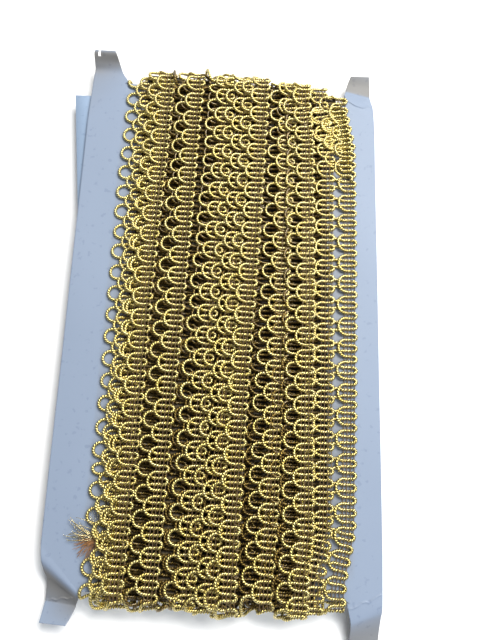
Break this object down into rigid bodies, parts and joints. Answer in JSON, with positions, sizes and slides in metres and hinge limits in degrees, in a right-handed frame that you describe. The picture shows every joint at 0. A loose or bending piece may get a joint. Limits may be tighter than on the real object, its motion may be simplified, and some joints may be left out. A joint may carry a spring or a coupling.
{
  "type": "gold loop-edged gimp braid trim wound on a card",
  "caption": "Metallic gold gimp braid with a looped edge, wound lengthwise round a notched pale card with bent ears.",
  "frame": {"origin": "under the middle of the card, on the surface that the winding's back lies on", "axes": "+Y up the card's length, +X to the right seen from the front, +Z out of the front of the winding"},
  "size_m": [0.1375, 0.2479, 0.0146],
  "materials": {
    "gold_gimp": "metallic gold wrapped cord, glittering, with a fine twist",
    "pale_card": "matt pale blue-white card with faint creases",
    "frayed_thread": "loose orange-brown core threads and thin gold wires"
  },
  "bodies": {
    "root": {"wound_braid": "gold_gimp", "edge_loops_front": "gold_gimp", "edge_loops_back": "gold_gimp", "frayed_end": "frayed_thread", "front_card": "pale_card", "back_card": "pale_card"}
  },
  "joints": []
}
